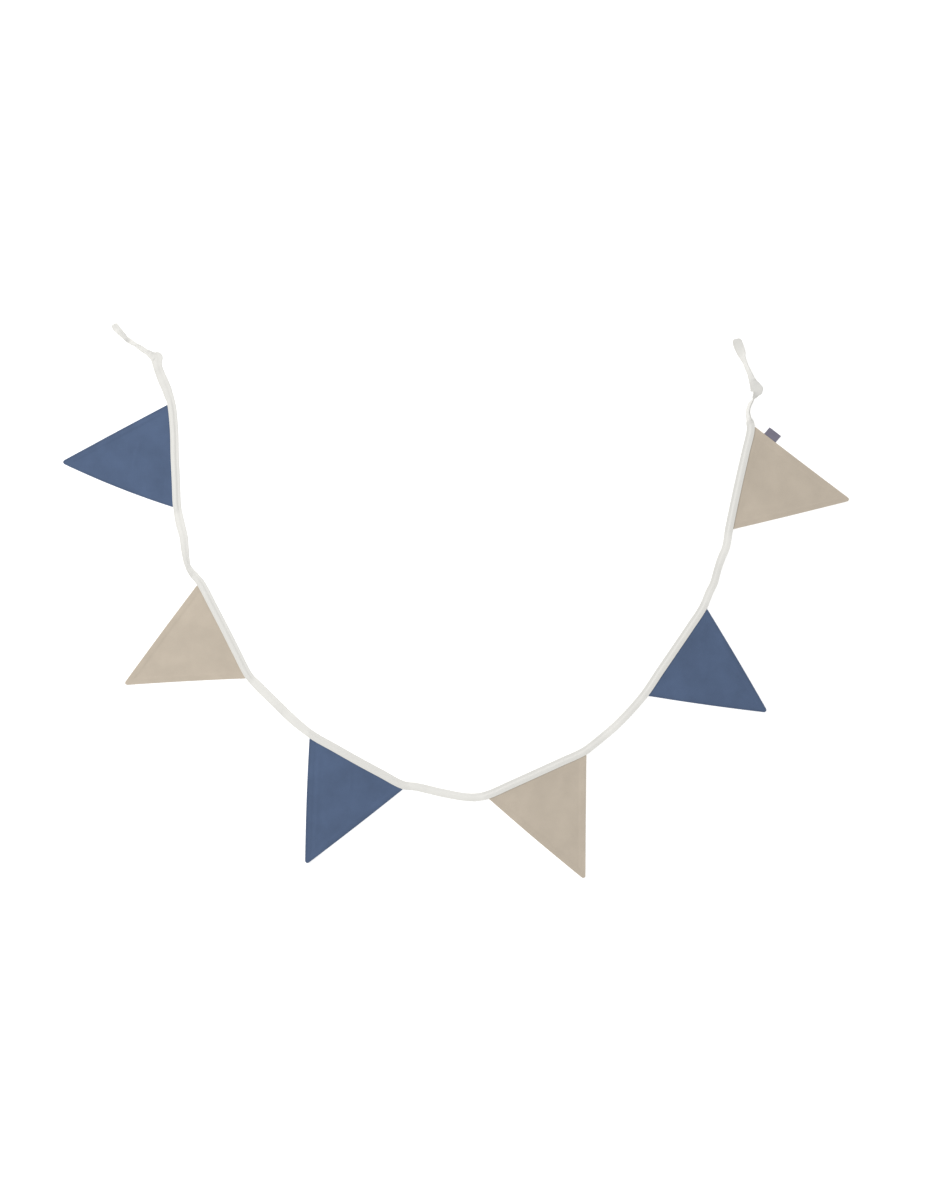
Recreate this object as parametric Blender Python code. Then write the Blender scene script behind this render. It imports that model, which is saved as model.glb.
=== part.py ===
"""Fabric bunting, laid out on a surface: six cloth pennants sewn into one folded tape.

The tape is a binding folded lengthwise into a U. Its open edge holds the pennants' top edges,
and its two free ends are the ties. A small folded label is sewn into the last pennant's seam.

Sizes are in millimetres and turn into metres where a mesh is made. X and Y lie in the surface,
+Z points up from it, and the origin is on the surface under the middle of the outline.
"""

import math
from bisect import bisect_right
from collections import namedtuple

import bmesh
import bpy
from mathutils import Vector

MM = 0.001

# Folded tape
TAPE_WIDTH = 13.2
LEAF = 1.0
FOLD_GAP = 0.4
FOLD_ROUND = 0.7
STEP_PLACE = 0.4
STEP_RUN = 1.4

# Pennants
PENNANT_TUCK = 5.2
PENNANT_IN_TAPE = 1.2
PENNANT_FIELD = 1.5
SEAM_THICK = 2.1
SEAM_EDGE = 1.4
SEAM_ROLL = 1.3
SEAM_BAND = 8.0
TIP_RADIUS = 3.0
LEVEL_PAST_TAPE = 1.0
DROP_PAST_TAPE = 14.0
PUCKER_HEIGHT = 0.5
PUCKER_COUNT = 4
PUCKER_REACH = 45.0
TIP_CURL_REACH = 60.0

# Label
LABEL_WIDTH = 23.0
LABEL_REACH = 13.5
LABEL_LEAF = 0.9
LABEL_GAP = 0.3
LABEL_ROUND = 0.6
LABEL_FROM_CORNER = 17.5
LABEL_LEAN = math.radians(3.5)

# Pieces that touch stay this far apart
CLEARANCE = 0.3

# Edges that turn by more than this are shaded sharp
SHARP_ANGLE = math.radians(35)

# The tape's slot stays open a little past each pennant, then closes
SLOT_PAST = 3.0
SLOT_CLOSING = 10.0

# Spacing of the tape's sections
SPACING_TIE = 2.6
SPACING_FREE = 13.0
SPACING_SEWN = 13.0
SPACING_CLOSING = 3.4
SEWN_CROWDING = 0.5
ROUTE_STEP = 1.0
TANGENT_SPAN = 2.0

# Middle of the outline in the coordinates of the tables below
LAYOUT_CENTRE = (-0.558, 1.124)

# A bend of the tape's middle line: where it is, how far the tape rolls from flat, in degrees,
# and how wide it lies there, as a share of its width. Under 1 it is gathered, and over 1 it is
# cut across the corner of a fold.
Bend = namedtuple("Bend", "x y roll spread")

LEFT_TIE = (
    Bend(-548.8, 443.2, 0, 0.82),
    Bend(-544.3, 435.7, 0, 0.90),
    Bend(-539.7, 431.0, 24, 0.86),
    Bend(-535.2, 426.6, 30, 0.82),
    Bend(-529.0, 419.8, 38, 0.74),
    Bend(-522.7, 415.5, 0, 0.62),
    Bend(-517.8, 412.6, -38, 0.62),
    Bend(-512.3, 409.1, -50, 0.60),
    Bend(-506.9, 405.8, -34, 0.72),
    Bend(-501.8, 402.1, -34, 0.76),
    Bend(-496.2, 398.7, -40, 0.74),
    Bend(-490.9, 395.2, -22, 0.88),
    Bend(-486.1, 391.7, -8, 1.04),
    Bend(-480.3, 389.0, 0, 1.54),
    Bend(-479.8, 382.2, 0, 1.24),
    Bend(-477.9, 373.0, 6, 1.12),
    Bend(-475.0, 364.5, 0, 1.16),
    Bend(-470.1, 352.6, -5, 1.22),
    Bend(-465.0, 341.0, 0, 1.20),
    Bend(-460.8, 328.6, 4, 1.14),
)

# Bends between one pennant and the next
BETWEEN = (
    (
        Bend(-442.2, 122.1, 0, 1.12),
        Bend(-437.0, 102.4, 8, 1.06),
        Bend(-435.0, 84.0, 14, 1.00),
        Bend(-432.6, 66.4, 26, 0.90),
        Bend(-430.1, 56.2, 38, 0.84),
        Bend(-425.3, 47.4, 30, 0.94),
        Bend(-419.2, 39.8, 10, 0.98),
    ),
    (
        Bend(-316.0, -137.9, 0, 1.12),
        Bend(-289.0, -164.2, 10, 1.14),
        Bend(-262.2, -190.2, -6, 1.10),
    ),
    (
        Bend(-66.0, -297.4, -6, 1.00),
        Bend(-24.6, -307.0, 6, 1.00),
        Bend(13.0, -313.8, 10, 0.98),
        Bend(32.0, -314.4, 0, 1.00),
    ),
    (
        Bend(221.3, -228.1, -8, 1.00),
        Bend(251.5, -202.9, 9, 1.00),
        Bend(278.6, -175.6, -6, 1.00),
    ),
    (
        Bend(405.0, 14.4, 0, 1.00),
        Bend(411.6, 28.0, -6, 0.98),
        Bend(417.8, 50.4, -10, 0.98),
        Bend(425.0, 70.8, 0, 1.00),
        Bend(431.2, 85.8, 6, 1.00),
    ),
)

RIGHT_TIE = (
    Bend(466.8, 294.0, 54, 0.86),
    Bend(465.9, 302.4, 60, 0.82),
    Bend(467.5, 310.4, 60, 0.82),
    Bend(470.0, 316.0, 62, 0.84),
    Bend(472.9, 320.3, 72, 0.86),
    Bend(476.0, 325.3, 118, 0.84),
    Bend(479.0, 330.0, 152, 0.80),
    Bend(480.8, 334.2, 176, 1.32),
    Bend(480.4, 337.8, 180, 1.66),
    Bend(477.9, 343.8, 180, 1.34),
    Bend(474.9, 349.2, 186, 1.02),
    Bend(472.2, 355.4, 206, 0.82),
    Bend(468.6, 364.4, 226, 0.78),
    Bend(464.4, 373.2, 236, 0.80),
    Bend(461.4, 381.1, 238, 0.80),
    Bend(458.2, 387.8, 226, 0.88),
    Bend(455.2, 397.0, 198, 1.14),
    Bend(452.1, 406.0, 184, 1.22),
    Bend(449.6, 413.3, 180, 1.20),
    Bend(448.2, 419.7, 180, 1.02),
)

# A pennant: the two corners where it leaves the tape, the point where its sides would meet,
# how far its seam in the tape bows out at each quarter and its two sides half way, and how far
# its tip curls up.
Pennant = namedtuple("Pennant", "cloth start end apex seam_bows start_bow end_bow curl")

PENNANTS = (
    Pennant("blue", (-463.0, 314.4), (-453.9, 150.7), (-633.9, 221.7), (2.0, 0.8, 0.4), 0.5, 3.4, 1.6),
    Pennant("taupe", (-415.6, 25.5), (-338.3, -123.0), (-534.2, -135.1), (0.4, 0.3, -0.2), 0.6, -0.8, 0.6),
    Pennant("blue", (-234.3, -220.6), (-87.7, -300.9), (-242.3, -423.4), (-0.7, -1.3, -1.0), 1.3, 0.8, 1.8),
    Pennant("taupe", (52.9, -316.5), (206.7, -247.1), (206.2, -447.5), (-0.5, -0.5, -0.4), 1.2, -0.2, 0.8),
    Pennant("blue", (307.5, -151.6), (400.2, -13.7), (499.0, -179.1), (0.0, -0.3, -0.5), 1.2, 1.0, 0.5),
    Pennant("taupe", (442.8, 114.8), (477.4, 276.5), (632.4, 160.8), (0.4, 0.3, -0.2), 0.4, -0.2, 1.2),
)

# Colour, roughness and the same metallic value for every cloth
CLOTHS = {
    "blue": ("blue_cotton", (0.107, 0.147, 0.238), 0.9),
    "taupe": ("taupe_cotton", (0.558, 0.479, 0.392), 0.9),
    "cream": ("cream_binding", (0.84, 0.81, 0.75), 0.85),
    "navy": ("navy_label", (0.045, 0.045, 0.09), 0.75),
}


def flat(x, y):
    """A point of the layout, from the coordinates of the tables."""
    return Vector((x - LAYOUT_CENTRE[0], y - LAYOUT_CENTRE[1]))


def to_the_right(direction):
    """The direction a quarter turn clockwise from this one, which is towards the pennants."""
    return Vector((direction.y, -direction.x))


def ease(share):
    """Smooth step from 0 to 1."""
    share = min(max(share, 0.0), 1.0)
    return share * share * (3.0 - 2.0 * share)


def blend(before, after, share):
    return before + (after - before) * share


# Route of the tape

def seam_points(pennant):
    """Middle line of the tape beside a pennant: at both ends, and at each quarter between."""
    start = flat(*pennant.start)
    end = flat(*pennant.end)
    away = -to_the_right((end - start).normalized())
    bows = (0.0, *pennant.seam_bows, 0.0)
    steps = len(bows) - 1
    return [blend(start, end, number / steps) + away * (TAPE_WIDTH / 2 + bow)
            for number, bow in enumerate(bows)]


def control_points():
    """All the bends in order, and the numbers of those where each pennant starts and ends."""
    bends = [(flat(bend.x, bend.y), bend.roll, bend.spread) for bend in LEFT_TIE]
    sewn = []
    for number, pennant in enumerate(PENNANTS):
        seam = seam_points(pennant)
        sewn.append((len(bends), len(bends) + len(seam) - 1))
        bends.extend((point, 0, 1.0) for point in seam)
        following = BETWEEN[number] if number < len(BETWEEN) else RIGHT_TIE
        bends.extend((flat(bend.x, bend.y), bend.roll, bend.spread) for bend in following)
    return bends, sewn


def curve_point(before, start, end, after, share):
    """Point on the smooth curve from start to end: a centripetal Catmull-Rom spline."""
    knots = [0.0]
    for first, second in ((before, start), (start, end), (end, after)):
        knots.append(knots[-1] + math.sqrt((second - first).length))
    knot = blend(knots[1], knots[2], share)

    def mix(first, second, low, high):
        return first + (second - first) * ((knot - knots[low]) / (knots[high] - knots[low]))

    first = mix(before, start, 0, 1)
    second = mix(start, end, 1, 2)
    third = mix(end, after, 2, 3)
    return mix(mix(first, second, 0, 2), mix(second, third, 1, 3), 1, 2)


def add_steps(places, end, spacing, crowding=0.0):
    """Add steps from the last place to the end, which may crowd towards both."""
    start = places[-1]
    count = max(1, math.ceil((end - start) / spacing))
    for step in range(1, count + 1):
        share = step / count
        places.append(blend(start, end, blend(share, ease(share), crowding)))


class Route:
    """The tape's middle line, read by the distance from the left tie's end."""

    def __init__(self):
        bends, sewn = control_points()
        points = [bend[0] for bend in bends]
        ends = [points[0] * 2 - points[1]] + points + [points[-1] * 2 - points[-2]]
        self.samples = [points[0]]
        self.distances = [0.0]
        self.bend_distances = [0.0]
        for number in range(len(points) - 1):
            steps = max(2, round((points[number + 1] - points[number]).length / ROUTE_STEP))
            for step in range(1, steps + 1):
                point = curve_point(*ends[number:number + 4], step / steps)
                self.distances.append(self.distances[-1] + (point - self.samples[-1]).length)
                self.samples.append(point)
            self.bend_distances.append(self.distances[-1])
        self.length = self.distances[-1]
        self.rolls = [bend[1] for bend in bends]
        self.spreads = [bend[2] for bend in bends]
        self.sewn = [tuple(self.bend_distances[end] for end in pair) for pair in sewn]

    def middle(self, distance):
        """Point of the middle line."""
        distance = min(max(distance, 0.0), self.length)
        number = min(bisect_right(self.distances, distance), len(self.distances) - 1)
        low = self.distances[number - 1]
        high = self.distances[number]
        share = (distance - low) / (high - low)
        return blend(self.samples[number - 1], self.samples[number], share)

    def open_side(self, distance):
        """Direction across the tape towards its open edge, where the pennants are."""
        ahead = self.middle(distance + TANGENT_SPAN)
        behind = self.middle(distance - TANGENT_SPAN)
        return to_the_right((ahead - behind).normalized())

    def between_bends(self, values, distance):
        """A bend's value, eased from one bend to the next."""
        number = min(bisect_right(self.bend_distances, distance), len(self.bend_distances) - 1)
        low = self.bend_distances[number - 1]
        high = self.bend_distances[number]
        return blend(values[number - 1], values[number], ease((distance - low) / (high - low)))

    def roll(self, distance):
        """The tape's roll, which is none as far as the slot is open."""
        return math.radians(self.between_bends(self.rolls, distance)) * (1.0 - self.slot(distance))

    def spread(self, distance):
        return blend(self.between_bends(self.spreads, distance), 1.0, self.slot(distance))

    def slot(self, distance):
        """How far the slot is open: 1 beside a pennant, 0 away from them."""
        nearest = min(max(start - distance, distance - end) for start, end in self.sewn)
        return 1.0 - ease((nearest - SLOT_PAST) / SLOT_CLOSING)

    def stations(self):
        """Distances at which the tape has a section, closest in the ties and at the slots' ends."""
        places = [0.0]
        for number, (start, end) in enumerate(self.sewn):
            spacing = SPACING_FREE if number else SPACING_TIE
            add_steps(places, start - SLOT_PAST - SLOT_CLOSING, spacing)
            add_steps(places, start - SLOT_PAST, SPACING_CLOSING)
            add_steps(places, end + SLOT_PAST, SPACING_SEWN, SEWN_CROWDING)
            add_steps(places, end + SLOT_PAST + SLOT_CLOSING, SPACING_CLOSING)
        add_steps(places, self.length, SPACING_TIE)
        return places


# Meshes

def cloth_material(cloth):
    """Principled material of one cloth."""
    name, colour, roughness = CLOTHS[cloth]
    material = bpy.data.materials.new(name)
    material.use_nodes = True
    shader = material.node_tree.nodes["Principled BSDF"]
    shader.inputs["Base Color"].default_value = (*colour, 1.0)
    shader.inputs["Roughness"].default_value = roughness
    shader.inputs["Metallic"].default_value = 0.0
    material.diffuse_color = (*colour, 1.0)
    return material


def joined_rings(name, rings, cloth, end_faces, across=None):
    """A closed solid through rings of points in millimetres, with the given faces at its ends.

    Where the points' places across the piece are given, every face is split along a diagonal
    that leans the same way across, so that the two sides of a twisted sheet stay parallel.
    """
    work = bmesh.new()
    corners = [[work.verts.new(point * MM) for point in ring] for ring in rings]
    for ring, following in zip(corners, corners[1:]):
        for number in range(len(ring)):
            after = (number + 1) % len(ring)
            face = [ring[number], ring[after], following[after], following[number]]
            if across is None:
                work.faces.new(face)
                continue
            if across[number] < across[after]:
                face = face[1:] + face[:1]
            work.faces.new(face[:3])
            work.faces.new((face[0], face[2], face[3]))
    for ring in (corners[0], corners[-1]):
        for face in end_faces:
            work.faces.new([ring[number] for number in face])
    bmesh.ops.recalc_face_normals(work, faces=work.faces)
    bmesh.ops.triangulate(work, faces=work.faces)
    mesh = bpy.data.meshes.new(name)
    work.to_mesh(mesh)
    work.free()
    mesh.shade_smooth()
    mesh.set_sharp_from_angle(angle=SHARP_ANGLE)
    piece = bpy.data.objects.new(name, mesh)
    piece.data.materials.append(cloth_material(cloth))
    bpy.context.scene.collection.objects.link(piece)


# Tape

def tape_outline(slot, spread):
    """The folded tape in section, as points across it and up, before it is rolled."""
    half = TAPE_WIDTH / 2
    shut = 2 * LEAF + FOLD_GAP
    mouth = blend(FOLD_GAP, PENNANT_IN_TAPE + 2 * CLEARANCE, slot)
    top = 2 * LEAF + mouth
    step_end = STEP_PLACE - STEP_RUN
    outline = [
        (half, 0.0),
        (FOLD_ROUND - half, 0.0),
        (-half, FOLD_ROUND),
        (-half, shut - FOLD_ROUND),
        (FOLD_ROUND - half, shut),
        (step_end, shut),
        (STEP_PLACE, top),
        (half, top),
        (half, top - LEAF),
        (STEP_PLACE - CLEARANCE, top - LEAF),
        (step_end - CLEARANCE, shut - LEAF),
        (LEAF - half, shut - LEAF),
        (LEAF - half, LEAF),
        (half, LEAF),
    ]
    return [(across * spread, up) for across, up in outline]


def tape_ring(route, distance):
    """The tape's section at a distance along it, rolled about its middle and set on the surface."""
    roll = route.roll(distance)
    centre = route.middle(distance)
    side = route.open_side(distance)
    outline = tape_outline(route.slot(distance), route.spread(distance))
    middle_height = LEAF + FOLD_GAP / 2
    turned = []
    for across, up in outline:
        rise = up - middle_height
        turned.append((across * math.cos(roll) - rise * math.sin(roll),
                       across * math.sin(roll) + rise * math.cos(roll)))
    lowest = min(height for _, height in turned)
    ring = []
    for across, height in turned:
        place = centre + side * across
        ring.append(Vector((place.x, place.y, height - lowest)))
    return ring


def make_tape(route):
    rings = [tape_ring(route, distance) for distance in route.stations()]
    end_face = [list(range(len(rings[0])))]
    across = [point[0] for point in tape_outline(0.0, 1.0)]
    joined_rings("tape", rings, "cream", end_face, across)


# Pennants

# Rows of points down a pennant, as distances from the tape's open edge
PENNANT_ROWS = (1.0, 6.0, 14.0, 30.0, 50.0, 72.0, 95.0, 118.0, 138.0, 153.0)
# Columns between the seam bands, as shares of the way from one band to the other
PENNANT_COLUMNS = (0.14, 0.28, 0.42, 0.56, 0.7, 0.85)
# Near the tip, the seam's roll and band take at most these shares of the width
ROLL_MOST = 0.1
BAND_MOST = 0.3
# The last row's width at the rounded tip, as a share of the row before it
CAP_SHARE = 0.5


def column_shares(width):
    """Shares of a row's width where its points are, from one side to the other."""
    roll = min(SEAM_ROLL / width, ROLL_MOST)
    band = min(SEAM_BAND / width, BAND_MOST)
    inner = [blend(band, 1.0 - band, share) for share in PENNANT_COLUMNS]
    return [0.0, roll, band] + inner + [1.0 - band, 1.0 - roll, 1.0]


def side_line(corner, apex, bow, outward, share):
    """Point of a pennant's side, which bows out between the corner and the apex."""
    return corner + (apex - corner) * share + outward * (bow * 4.0 * share * (1.0 - share))


class PennantShape:
    """Where the points of one pennant lie, seen from above, and how high."""

    def __init__(self, route, pennant, sewn):
        self.route = route
        self.pennant = pennant
        self.sewn = sewn
        self.apex = flat(*pennant.apex)
        self.first = self.seam_point(0.0, LEVEL_PAST_TAPE)
        self.last = self.seam_point(1.0, LEVEL_PAST_TAPE)
        self.first_out = to_the_right((self.apex - self.first).normalized())
        self.last_out = -to_the_right((self.apex - self.last).normalized())
        self.height = (self.apex - (self.first + self.last) / 2).length
        sides = (self.first - self.apex).angle(self.last - self.apex)
        self.half_angle = sides / 2

    def seam_point(self, share, past_tape):
        """Point beside the tape's open edge, at a share of the seam."""
        distance = blend(self.sewn[0], self.sewn[1], share)
        reach = TAPE_WIDTH / 2 + past_tape
        return self.route.middle(distance) + self.route.open_side(distance) * reach

    def field_point(self, share_across, share_down):
        """Point in the open part of the pennant."""
        first = side_line(self.first, self.apex, self.pennant.start_bow, self.first_out, share_down)
        last = side_line(self.last, self.apex, self.pennant.end_bow, self.last_out, share_down)
        seam = self.seam_point(share_across, LEVEL_PAST_TAPE)
        straight = blend(self.first, self.last, share_across)
        return blend(first, last, share_across) + (seam - straight) * (1.0 - share_down)

    def lift(self, share_across, down):
        """Height of the underside above the surface."""
        in_tape = LEAF + CLEARANCE
        drop = 1.0 - ease((down - LEVEL_PAST_TAPE) / (DROP_PAST_TAPE - LEVEL_PAST_TAPE))
        wave = 0.5 - 0.5 * math.cos(2.0 * math.pi * PUCKER_COUNT * share_across)
        fade = ease((down - LEVEL_PAST_TAPE) / DROP_PAST_TAPE) * (1.0 - ease(down / PUCKER_REACH))
        to_tip = self.height - down
        curl = self.pennant.curl * (1.0 - ease(to_tip / TIP_CURL_REACH)) ** 2
        return in_tape * drop + PUCKER_HEIGHT * wave * fade + curl

    def thickness(self, column, columns, down):
        """Two plies in the field, with the turned-in seam allowance along both sides."""
        from_side = min(column, columns - 1 - column)
        here = (SEAM_EDGE, SEAM_THICK)[from_side] if from_side < 2 else PENNANT_FIELD
        return blend(PENNANT_IN_TAPE, here, ease((down - LEVEL_PAST_TAPE) / DROP_PAST_TAPE))

    def ring(self, points, down):
        """The points of a row: the upper side one way, then the underside back."""
        shares = [number / (len(points) - 1) for number in range(len(points))]
        under = [self.lift(share, down) for share in shares]
        upper = [low + self.thickness(number, len(points), down) for number, low in enumerate(under)]
        ring = [Vector((point.x, point.y, high)) for point, high in zip(points, upper)]
        ring += [Vector((point.x, point.y, low)) for point, low in zip(points, under)][::-1]
        return ring

    def rings(self):
        """All the rows, from the edge hidden in the tape to the rounded tip."""
        base = (self.last - self.first).length
        shares = column_shares(base)
        rings = []
        for past_tape in (-PENNANT_TUCK, LEVEL_PAST_TAPE):
            points = [self.seam_point(share, past_tape) for share in shares]
            rings.append(self.ring(points, past_tape))
        tangent = self.height - TIP_RADIUS / math.sin(self.half_angle) * math.cos(self.half_angle) ** 2
        for down in [row for row in PENNANT_ROWS[1:] if row < tangent] + [tangent]:
            share_down = (down - LEVEL_PAST_TAPE) / self.height
            width = base * (1.0 - share_down)
            points = [self.field_point(share, share_down) for share in column_shares(width)]
            rings.append(self.ring(points, down))
        first = rings[-1][0].xy
        last = rings[-1][len(shares) - 1].xy
        cap = TIP_RADIUS * (1.0 - math.sin(self.half_angle))
        onward = (self.apex - (first + last) / 2).normalized() * cap
        centre = (first + last) / 2 + onward
        points = [centre + (last - first) * (share - 0.5) * CAP_SHARE for share in shares]
        rings.append(self.ring(points, tangent + cap))
        return rings


def make_pennants(route):
    shapes = []
    for number, (pennant, sewn) in enumerate(zip(PENNANTS, route.sewn)):
        shape = PennantShape(route, pennant, sewn)
        rings = shape.rings()
        count = len(rings[0])
        end_faces = [(row, row + 1, count - 2 - row, count - 1 - row) for row in range(count // 2 - 1)]
        joined_rings(f"pennant_{number + 1}", rings, pennant.cloth, end_faces)
        shapes.append(shape)
    return shapes


# Label

def make_label(shape):
    """A strip folded in two, standing out from the pennant's second side near the tape."""
    along = (shape.apex - shape.last).normalized()
    out = shape.last_out
    share = (LABEL_FROM_CORNER + LABEL_WIDTH / 2) / (shape.apex - shape.last).length
    bow = shape.pennant.end_bow * 4.0 * share * (1.0 - share)
    corner = shape.last + along * LABEL_FROM_CORNER + out * (max(bow, 0.0) + CLEARANCE)
    leaning = (out * math.cos(LABEL_LEAN) + along * math.sin(LABEL_LEAN)) / math.cos(LABEL_LEAN)
    thick = 2 * LABEL_LEAF + LABEL_GAP
    inside = LABEL_REACH - LABEL_LEAF
    outline = [
        (0.0, 0.0),
        (LABEL_REACH - LABEL_ROUND, 0.0),
        (LABEL_REACH, LABEL_ROUND),
        (LABEL_REACH, thick - LABEL_ROUND),
        (LABEL_REACH - LABEL_ROUND, thick),
        (0.0, thick),
        (0.0, thick - LABEL_LEAF),
        (inside, thick - LABEL_LEAF),
        (inside, LABEL_LEAF),
        (0.0, LABEL_LEAF),
    ]
    rings = []
    for side in (0.0, LABEL_WIDTH):
        ring = []
        for reach, height in outline:
            place = corner + along * side + leaning * reach
            ring.append(Vector((place.x, place.y, height)))
        rings.append(ring)
    joined_rings("label", rings, "navy", [list(range(len(outline)))])


def main():
    for thing in list(bpy.data.objects):
        bpy.data.objects.remove(thing, do_unlink=True)
    route = Route()
    make_tape(route)
    shapes = make_pennants(route)
    make_label(shapes[-1])


main()
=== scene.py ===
"""Looks of the fabric bunting: six cloth pennants sewn into one folded tape, laid on a surface.

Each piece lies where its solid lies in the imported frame, and is finer than the solid: thin cloth
with turned-in edges, seams, stitches and soft unevenness.

Sizes are in metres. Only the tables of the layout are in millimetres, as in the part's source,
and the function flat turns them into metres.
"""

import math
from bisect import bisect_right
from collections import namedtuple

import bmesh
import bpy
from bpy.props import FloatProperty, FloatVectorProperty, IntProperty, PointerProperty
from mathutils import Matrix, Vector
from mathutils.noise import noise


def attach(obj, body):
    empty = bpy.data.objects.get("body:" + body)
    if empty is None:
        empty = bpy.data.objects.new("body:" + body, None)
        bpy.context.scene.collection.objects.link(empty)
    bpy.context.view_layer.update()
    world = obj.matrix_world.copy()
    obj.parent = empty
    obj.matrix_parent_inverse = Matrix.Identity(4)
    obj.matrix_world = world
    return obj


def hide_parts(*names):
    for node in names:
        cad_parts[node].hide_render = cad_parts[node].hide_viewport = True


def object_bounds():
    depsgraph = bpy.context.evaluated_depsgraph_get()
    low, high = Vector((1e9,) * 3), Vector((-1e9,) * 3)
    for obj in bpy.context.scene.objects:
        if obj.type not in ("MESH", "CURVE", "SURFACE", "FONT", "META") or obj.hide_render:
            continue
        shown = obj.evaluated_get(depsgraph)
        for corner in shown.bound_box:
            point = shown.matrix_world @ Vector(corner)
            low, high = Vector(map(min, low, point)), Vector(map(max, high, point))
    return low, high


bl_info = {
    "name": "Fabric Bunting",
    "version": (1, 0, 0),
    "blender": (4, 5, 0),
    "location": "View3D > Sidebar > Bunting",
    "description": "Cloth pennants in a folded tape, with stitching, a label and a stage",
    "category": "Object",
}

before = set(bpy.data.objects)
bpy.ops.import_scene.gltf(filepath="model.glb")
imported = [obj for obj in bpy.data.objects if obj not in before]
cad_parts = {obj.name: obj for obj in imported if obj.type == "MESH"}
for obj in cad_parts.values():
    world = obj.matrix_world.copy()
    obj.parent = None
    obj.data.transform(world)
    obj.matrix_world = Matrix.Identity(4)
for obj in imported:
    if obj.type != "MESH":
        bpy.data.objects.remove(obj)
SOLID_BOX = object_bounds()

MM = 0.001

# The layout, which repeats the tables of the part's source

# Middle of the outline in the coordinates of the tables
LAYOUT_CENTRE = (-0.558, 1.124)

# A bend of the tape's middle line: where it is, how far the tape rolls from flat, in degrees,
# and how wide it lies there, as a share of its width. Under 1 it is gathered, and over 1 it is
# cut across the corner of a fold.
Bend = namedtuple("Bend", "x y roll spread")

LEFT_TIE = (
    Bend(-548.8, 443.2, 0, 0.82),
    Bend(-544.3, 435.7, 0, 0.90),
    Bend(-539.7, 431.0, 24, 0.86),
    Bend(-535.2, 426.6, 30, 0.82),
    Bend(-529.0, 419.8, 38, 0.74),
    Bend(-522.7, 415.5, 0, 0.62),
    Bend(-517.8, 412.6, -38, 0.62),
    Bend(-512.3, 409.1, -50, 0.60),
    Bend(-506.9, 405.8, -34, 0.72),
    Bend(-501.8, 402.1, -34, 0.76),
    Bend(-496.2, 398.7, -40, 0.74),
    Bend(-490.9, 395.2, -22, 0.88),
    Bend(-486.1, 391.7, -8, 1.04),
    Bend(-480.3, 389.0, 0, 1.54),
    Bend(-479.8, 382.2, 0, 1.24),
    Bend(-477.9, 373.0, 6, 1.12),
    Bend(-475.0, 364.5, 0, 1.16),
    Bend(-470.1, 352.6, -5, 1.22),
    Bend(-465.0, 341.0, 0, 1.20),
    Bend(-460.8, 328.6, 4, 1.14),
)

# Bends between one pennant and the next
BETWEEN = (
    (
        Bend(-442.2, 122.1, 0, 1.12),
        Bend(-437.0, 102.4, 8, 1.06),
        Bend(-435.0, 84.0, 14, 1.00),
        Bend(-432.6, 66.4, 26, 0.90),
        Bend(-430.1, 56.2, 38, 0.84),
        Bend(-425.3, 47.4, 30, 0.94),
        Bend(-419.2, 39.8, 10, 0.98),
    ),
    (
        Bend(-316.0, -137.9, 0, 1.12),
        Bend(-289.0, -164.2, 10, 1.14),
        Bend(-262.2, -190.2, -6, 1.10),
    ),
    (
        Bend(-66.0, -297.4, -6, 1.00),
        Bend(-24.6, -307.0, 6, 1.00),
        Bend(13.0, -313.8, 10, 0.98),
        Bend(32.0, -314.4, 0, 1.00),
    ),
    (
        Bend(221.3, -228.1, -8, 1.00),
        Bend(251.5, -202.9, 9, 1.00),
        Bend(278.6, -175.6, -6, 1.00),
    ),
    (
        Bend(405.0, 14.4, 0, 1.00),
        Bend(411.6, 28.0, -6, 0.98),
        Bend(417.8, 50.4, -10, 0.98),
        Bend(425.0, 70.8, 0, 1.00),
        Bend(431.2, 85.8, 6, 1.00),
    ),
)

RIGHT_TIE = (
    Bend(466.8, 294.0, 54, 0.86),
    Bend(465.9, 302.4, 60, 0.82),
    Bend(467.5, 310.4, 60, 0.82),
    Bend(470.0, 316.0, 62, 0.84),
    Bend(472.9, 320.3, 72, 0.86),
    Bend(476.0, 325.3, 118, 0.84),
    Bend(479.0, 330.0, 152, 0.80),
    Bend(480.8, 334.2, 176, 1.32),
    Bend(480.4, 337.8, 180, 1.66),
    Bend(477.9, 343.8, 180, 1.34),
    Bend(474.9, 349.2, 186, 1.02),
    Bend(472.2, 355.4, 206, 0.82),
    Bend(468.6, 364.4, 226, 0.78),
    Bend(464.4, 373.2, 236, 0.80),
    Bend(461.4, 381.1, 238, 0.80),
    Bend(458.2, 387.8, 226, 0.88),
    Bend(455.2, 397.0, 198, 1.14),
    Bend(452.1, 406.0, 184, 1.22),
    Bend(449.6, 413.3, 180, 1.20),
    Bend(448.2, 419.7, 180, 1.02),
)

# A pennant: the two corners where it leaves the tape, the point where its sides would meet,
# how far its seam in the tape bows out at each quarter and its two sides half way, and how far
# its tip curls up.
Pennant = namedtuple("Pennant", "cloth start end apex seam_bows start_bow end_bow curl")

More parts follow.
